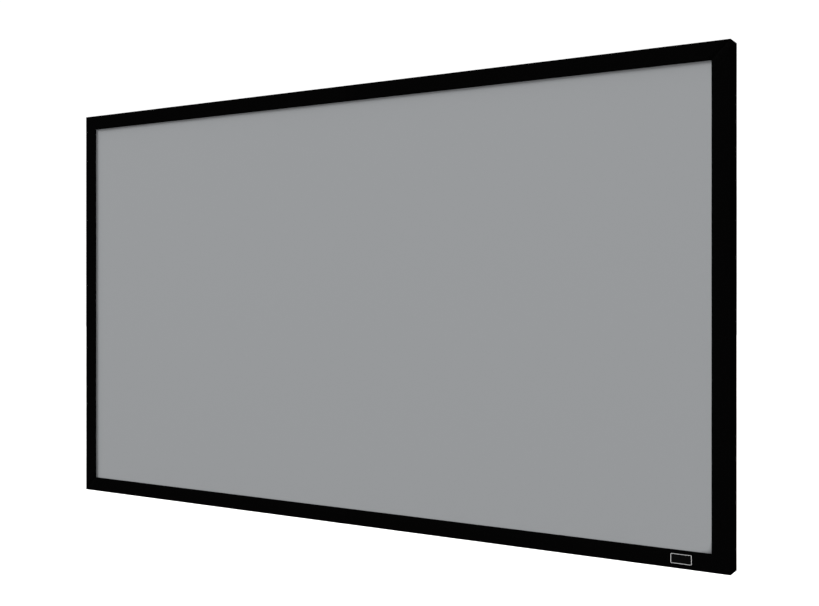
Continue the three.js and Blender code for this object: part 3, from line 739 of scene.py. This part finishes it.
def coil():
    """A helix round an axis that runs inwards: its radius grows from nothing over the first half
    turn and shrinks again over the last, by a smooth step of the turns made."""
    turns = np.linspace(0, COIL_TURNS, COIL_TURNS * COIL_STEPS + 1)
    near_end = np.clip(np.minimum(turns, COIL_TURNS - turns) / HALF_TURN, 0, 1)
    radius = COIL_RADIUS * near_end**2 * (3 - 2 * near_end)
    u = COIL_START + (COIL_END - COIL_START) * turns / COIL_TURNS
    angle = 2 * np.pi * turns
    return np.stack([radius * np.sin(angle), u, ROD_BACK + radius * np.cos(angle)], axis=-1)


def flat_line(points):
    """Points in u and v as points in s, u and v, in the plane of the hook."""
    return np.insert(np.asarray(points, float), 0, 0, axis=1)


def spring_line():
    """The whole wire as evenly spaced points: each stretch in turn, then the line is measured along
    its length, read at even steps, and smoothed three times by averaging each point with its
    neighbours."""
    hook_middle = RIB_TOP + RIB_HOOK
    inner = RIB_MIDDLE + RIB_HOOK
    line = np.concatenate([
        flat_line([(RIB_MIDDLE - RIB_HOOK, HOOK_TIP)]),
        flat_line(arc(RIB_MIDDLE, hook_middle, RIB_HOOK, 180, 360, 12)),
        flat_line(arc(inner + HOOK_BEND, ROD_BACK - HOOK_BEND, HOOK_BEND, 180, 90, 6)),
        coil(),
        flat_line([(COIL_END + LEAD, ROD_BACK)]),
        flat_line(arc(ROD_IN, ROD_BACK, ROD_HOOK, 145, -30, 16)),
    ])
    length = np.concatenate([[0], np.cumsum(np.linalg.norm(np.diff(line, axis=0), axis=1))])
    even = np.linspace(0, length[-1], int(length[-1] / WIRE_STEP))
    line = np.stack([np.interp(even, length, line[:, axis]) for axis in range(3)], axis=-1)
    for _ in range(3):
        line[1:-1] = (line[:-2] + 2 * line[1:-1] + line[2:]) / 4
    return line


print("one spring's wire has", len(spring_line()), "points")


# %% A circle carried along the line
def wire_rings(line, radius, sides):
    """A ring of points round each point of the line. The first ring's direction is carried to each
    next point by taking away whatever part of it points along the line there."""
    ahead = np.gradient(line, axis=0)
    ahead /= np.linalg.norm(ahead, axis=1, keepdims=True)
    across = np.zeros_like(line)
    carried = np.array([1.0, 0.0, 0.0])
    for station, direction in enumerate(ahead):
        carried = carried - direction * carried.dot(direction)
        carried /= np.linalg.norm(carried)
        across[station] = carried
    beside = np.cross(ahead, across)
    angle = np.linspace(0, 2 * np.pi, sides, endpoint=False)[None, :, None]
    return line[:, None] + radius * (np.cos(angle) * across[:, None] + np.sin(angle) * beside[:, None])


# %% All the springs
WIRE_SIDES = 8


def springs(side):
    """All the springs of a side as one piece: the same rings moved to each place along the side."""
    rings = wire_rings(spring_line(), WIRE, WIRE_SIDES)
    rows, columns = rings.shape[:2]
    points = []
    faces = []
    for number, s in enumerate(spring_places(side)):
        points.append(place(side, rings[..., 0] + s, rings[..., 1], rings[..., 2]))
        faces += tube_faces(rows, columns, number * rows * columns)
    return add_piece(f"springs_{side}", np.stack(points), faces, [drawn_steel],
                     [f"tension_rod_{side}"], sharp=60)


for side in SIDES:
    springs(side)

# %% [markdown]
# ## Screws
#
# Both kinds of screw are turned shapes: a line of radius against depth, spun round. The thread is
# the same line with its radius going in and out as the angle goes round, so that the crest climbs
# by one pitch in a turn. The socket is spun too, but its radius depends on the angle in such a way
# that the circle becomes a hexagon.

# %% Sizes of a screw
SCREW_RADIUS = 2.5 * MM
SCREW_SIDES = 24
PITCH = 0.8 * MM
THREAD = 0.4 * MM  # from a crest to a root
THREAD_RINGS = 6  # in a pitch
THREAD_END = 0.35 * MM  # from the seat to where the thread stops
TIP = 0.5 * MM  # length of the tip's cone
TIP_INSET = 0.6 * MM  # how much narrower than the thread the tip's end is
TIP_MIDDLE = 0.3 * MM  # radius of the smallest ring, which a lid closes
SOCKET = 1.45 * MM  # from the middle to a corner of the hexagon
SOCKET_DEPTH = 2.6 * MM
SOCKET_MOUTH = 1.1 * SOCKET  # radius of the countersink round the socket
COUNTERSINK = 0.15 * MM
SOCKET_CONE = 0.3 * MM  # depth of the cone that the drill leaves
SOCKET_MIDDLE = 0.2 * MM  # radius of the ring that a lid closes there
print(f"the thread is {2 * SCREW_RADIUS / MM:.0f} mm across, with a pitch of {PITCH / MM:.1f} mm")


# %% A spun shape with a thread and a hexagon socket
def screw_profile(shank, head):
    """Rows of radius, depth, threaded and hexagon, from the tip to the bottom of the socket. Depth
    counts backwards from the screw's seat. threaded and hexagon are 0 or 1. head lists radius and
    depth from the thread's end to the top."""
    thread = np.arange(-shank + TIP, -THREAD_END, PITCH / THREAD_RINGS)
    rows = [(TIP_MIDDLE, -shank, 0, 0), (SCREW_RADIUS - TIP_INSET, -shank, 0, 0)]
    rows += [(SCREW_RADIUS, depth, 1, 0) for depth in thread]
    rows += [(radius, depth, 0, 0) for radius, depth in head]
    top = head[-1][1]
    bottom = top - SOCKET_DEPTH
    rows += [(SOCKET_MOUTH, top, 0, 0), (SOCKET, top - COUNTERSINK, 0, 1)]
    rows += [(SOCKET, bottom + SOCKET_CONE, 0, 1), (SOCKET_MIDDLE, bottom, 0, 1)]
    return np.array(rows)


def screw_rings(profile):
    """Points round the axis, as across, along the depth and up. In a thread the radius loses THREAD
    times how far the phase, depth over pitch plus the share of a turn, is from the nearest whole
    number. In a hexagon it is the corner radius times cos 30 over the cosine of the angle from the
    middle of the flat."""
    turn = np.linspace(0, 1, SCREW_SIDES, endpoint=False)[None, :]
    radius, depth, threaded, hexagon = (column[:, None] for column in profile.T)
    phase = depth / PITCH + turn
    radius = radius - threaded * THREAD * 2 * np.abs(phase - np.round(phase))
    flat = np.radians((turn * 360) % 60 - 30)
    radius = radius * np.where(hexagon > 0, np.cos(np.radians(30)) / np.cos(flat), 1)
    angle = 2 * np.pi * turn
    depth = np.broadcast_to(depth, radius.shape)
    return np.stack([radius * np.cos(angle), depth, radius * np.sin(angle)], axis=-1)


def add_screw(node, profile, seat, material):
    """A screw in place of a plain one, on the same axis, with its seat at the depth given."""
    low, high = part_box(node)
    points = screw_rings(profile) + np.array([(low.x + high.x) / 2, seat, (low.z + high.z) / 2])
    faces = tube_faces(*points.shape[:2])
    return add_piece(f"screw_for_{node}", points, faces, [material], [node], sharp=50)


# %% Set screws and pan head screws
CHAMFER = 0.3 * MM  # round the top of a set screw
HEAD_HEIGHT = 2.6 * MM
HEAD_ROUND = 1.5 * MM  # radius of a pan head's upper edge
HEAD_EDGE = 0.1 * MM  # chamfer of its lower edge
for node in sorted(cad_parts):
    low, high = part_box(node)
    length = high.y - low.y
    if node.startswith("set_screw"):
        head = [(SCREW_RADIUS, -CHAMFER), (SCREW_RADIUS - CHAMFER, 0)]
        add_screw(node, screw_profile(length, head), high.y, oxide)
    elif node.startswith("foot_screw"):
        radius = (high.x - low.x) / 2
        crown = arc(radius - HEAD_ROUND, HEAD_HEIGHT - HEAD_ROUND, HEAD_ROUND, 0, 90, 6).tolist()
        head = [(SCREW_RADIUS, 0), (radius - HEAD_EDGE, 0), (radius, HEAD_EDGE), *crown]
        profile = screw_profile(length - HEAD_HEIGHT, head)
        add_screw(node, profile, high.y - HEAD_HEIGHT, zinc)

# %% [markdown]
# ## The badge
#
# A small plate sits near the right end of the bottom rail: a bright raised rim round a plain satin
# black field. A rounded rectangle is carried inwards, ring by ring, from the back edge over the rim
# and down into the field. Rings beyond the rim take the second material.

# %% Badge finishes
rim_metal, shader = new_finish("bright_rim", as_seen(212, 212, 212), 0.26, metallic=1.0)
drift_roughness(rim_metal, shader, noise(rim_metal, 0.4 * MM, stretch=(30, 1, 1)), 0.18, 0.34)
field_black, shader = new_finish("satin_field", as_seen(2, 2, 2), 0.5, specular=0.02)
drift_roughness(field_black, shader, noise(field_black, 0.5 * MM, stretch=(30, 1, 1)), 0.34, 0.5)
print(rim_metal.name, "and", field_black.name)

# %% Sizes of the badge
RIM_HEIGHT = 1.5 * MM  # from the velvet to the top of the rim
RIM_WIDTH = 1.1 * MM
RIM_ROUND = 0.3 * MM
RIM_STEPS = 2  # on each of the rim's two rounds
FIELD_HEIGHT = 0.9 * MM
FOOT_RISE, FOOT_RUN = 0.1 * MM, 0.15 * MM  # the small slope from the rim's foot to the field
FIELD_RING = 0.6 * MM  # from the rim to the ring that the front lid closes
OUTLINE_RADIUS = 3 * MM
SMALLEST_RADIUS = 0.6 * MM
OUTLINE_STEPS = 8  # in each corner
print(f"the rim is {RIM_WIDTH / MM:.1f} mm wide and {RIM_HEIGHT / MM:.1f} mm high")


# %% The badge's rings
def rounded_ring(half_width, half_height, radius, steps):
    """Points on a rounded rectangle: four quarter circles, one in each corner."""
    quarters = [(1, 1, 0), (-1, 1, 90), (-1, -1, 180), (1, -1, 270)]
    return np.concatenate([
        arc(x * (half_width - radius), z * (half_height - radius), radius, start, start + 90, steps)
        for x, z, start in quarters
    ])


def rim_profile():
    """How far inwards and how high the rim's rings lie: up the outer side, over the top on two
    quarter circles, and down the inner side."""
    shoulder = RIM_HEIGHT - RIM_ROUND
    outer = arc(RIM_ROUND, shoulder, RIM_ROUND, 180, 90, RIM_STEPS)
    inner = arc(RIM_WIDTH - RIM_ROUND, shoulder, RIM_ROUND, 90, 0, RIM_STEPS)
    return np.concatenate([[(0, 0)], outer, inner, [(RIM_WIDTH, FIELD_HEIGHT + FOOT_RISE)]])


def badge():
    """The rim's rings and two more on the field, each at its own height off the velvet, with a lid
    on the back and one across the field."""
    low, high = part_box("badge_plate")
    half_width = (high.x - low.x) / 2
    half_height = (high.z - low.z) / 2
    rim = rim_profile()
    field = [(RIM_WIDTH + FOOT_RUN, FIELD_HEIGHT), (RIM_WIDTH + FIELD_RING, FIELD_HEIGHT)]
    rings = []
    for inset, height in [*rim, *field]:
        radius = max(OUTLINE_RADIUS - inset, SMALLEST_RADIUS)
        ring = rounded_ring(half_width - inset, half_height - inset, radius, OUTLINE_STEPS)
        rings.append(np.insert(ring, 1, -height, axis=1))
    points = np.stack(rings) + np.array([(low.x + high.x) / 2, high.y, (low.z + high.z) / 2])
    faces = tube_faces(*points.shape[:2])
    piece = add_piece("badge", points, faces, [rim_metal, field_black], ["badge_plate"])
    back = len(faces) - 2
    front = len(faces) - 1
    second = np.zeros(len(faces), int)
    second[(len(rim) - 1) * points.shape[1]:back] = 1
    second[front] = 1
    piece.data.polygons.foreach_set("material_index", second)
    return piece


badge()

# %% [markdown]
# ## The studio
#
# The photograph has a pure white surround and even light on the fabric, apart from a soft shadow
# under the top and the left lip. So the main light is a large one, high on the left, and a second
# one from straight ahead fills in. Both are sun lights, because a sun lights a flat fabric evenly.
# One light from above keeps the floor white where the frame shades it, and one from behind shows
# the frame's back. The surround is white to the camera and much dimmer to the surfaces, so that it
# doesn't wash the shadows out.


# %% Lights
def sun(name, towards, strength, softness):
    """A sun light that stands in the direction towards and is softness degrees across."""
    light = bpy.data.lights.new(name, "SUN")
    light.energy = strength
    light.angle = np.radians(softness)
    lamp = bpy.data.objects.new(name, light)
    lamp.rotation_euler = Vector(towards).to_track_quat("Z", "Y").to_euler()
    bpy.context.scene.collection.objects.link(lamp)
    print(name, "of strength", strength)


sun("key_light", towards=(-2.0, -1.0, 1.55), strength=4.88, softness=30)
sun("front_fill", towards=(0.27, -1.0, 0.05), strength=1.04, softness=12)
sun("floor_light", towards=(0.0, 0.0, 1.0), strength=1.9, softness=30)
sun("back_light", towards=(-0.6, 1.0, 0.8), strength=1.9, softness=40)

# %% Surround
AMBIENT, REFLECTED, SEEN = 0.09, 0.5, 1.05  # as a light, in reflections and to the camera
world = bpy.data.worlds.new("white_studio")
bpy.context.scene.world = world
world.use_nodes = True
tree = world.node_tree
tree.nodes.clear()
ray = tree.nodes.new("ShaderNodeLightPath")
backgrounds = []
for strength in (AMBIENT, REFLECTED, SEEN):
    background = tree.nodes.new("ShaderNodeBackground")
    background.inputs["Color"].default_value = (1, 1, 1, 1)
    background.inputs["Strength"].default_value = strength
    backgrounds.append(background)
for_gloss = tree.nodes.new("ShaderNodeMixShader")
for_camera = tree.nodes.new("ShaderNodeMixShader")
output = tree.nodes.new("ShaderNodeOutputWorld")
tree.links.new(ray.outputs["Is Glossy Ray"], for_gloss.inputs["Fac"])
tree.links.new(backgrounds[0].outputs[0], for_gloss.inputs[1])
tree.links.new(backgrounds[1].outputs[0], for_gloss.inputs[2])
tree.links.new(ray.outputs["Is Camera Ray"], for_camera.inputs["Fac"])
tree.links.new(for_gloss.outputs[0], for_camera.inputs[1])
tree.links.new(backgrounds[2].outputs[0], for_camera.inputs[2])
tree.links.new(for_camera.outputs[0], output.inputs["Surface"])
print("the surround has", len(backgrounds), "strengths")

# %% Floor
FLOOR_BELOW = 0.7  # metres below the frame
FLOOR_HALF = 40.0  # metres from its middle to its edges
floor_paint, shader = new_finish("pale_floor", (0.9, 0.9, 0.9), 0.9, specular=0.1)
corners = [(x, y, BOTTOM - FLOOR_BELOW) for x, y in ((-1, -1), (1, -1), (1, 1), (-1, 1))]
floor_mesh = bpy.data.meshes.new("floor")
floor_mesh.from_pydata([(x * FLOOR_HALF, y * FLOOR_HALF, z) for x, y, z in corners], [], [(0, 1, 2, 3)])
floor_mesh.materials.append(floor_paint)
floor = bpy.data.objects.new("floor", floor_mesh)
floor.visible_diffuse = False
bpy.context.scene.collection.objects.link(floor)
floor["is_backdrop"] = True
print("the floor lies", FLOOR_BELOW, "m below the frame")

# %% [markdown]
# ## The camera
#
# The camera's place comes from the photograph: the upright edges stay upright, so it is level, and
# the slope of the top and bottom edges gives how far it stands to the right and how far away.

# %% Camera
FOCAL, SENSOR = 47.98, 36  # millimetres
SHIFT = -0.010  # of the picture's width, upwards
TURN = 31.57  # degrees to the left of straight ahead
LEVEL = 90  # degrees up from looking straight down
TO_THE_RIGHT = 2.374  # metres from the frame's middle
AWAY = 3.428  # metres from the velvet's front
HIGHER = 0.0383  # metres above the frame's middle
camera_data = bpy.data.cameras.new("camera")
camera_data.lens = FOCAL
camera_data.sensor_width = SENSOR
camera_data.shift_y = SHIFT
camera = bpy.data.objects.new("camera", camera_data)
camera.location = (TO_THE_RIGHT, FRONT - AWAY, MIDDLE_Z + HIGHER)
camera.rotation_euler = (np.radians(LEVEL), 0, np.radians(TURN))
bpy.context.scene.collection.objects.link(camera)
bpy.context.scene.camera = camera
bpy.context.scene.view_settings.view_transform = "Standard"
print("the camera stands at", tuple(round(value, 3) for value in camera.location))

# %% [markdown]
# ## Measuring the result
#
# Dressing the frame mustn't change its size. So the dressed frame's box is measured and its size is
# printed.

# %% Measure and finish
low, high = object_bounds()
print("dressed size", [round(b - a, 4) for a, b in zip(low, high)])
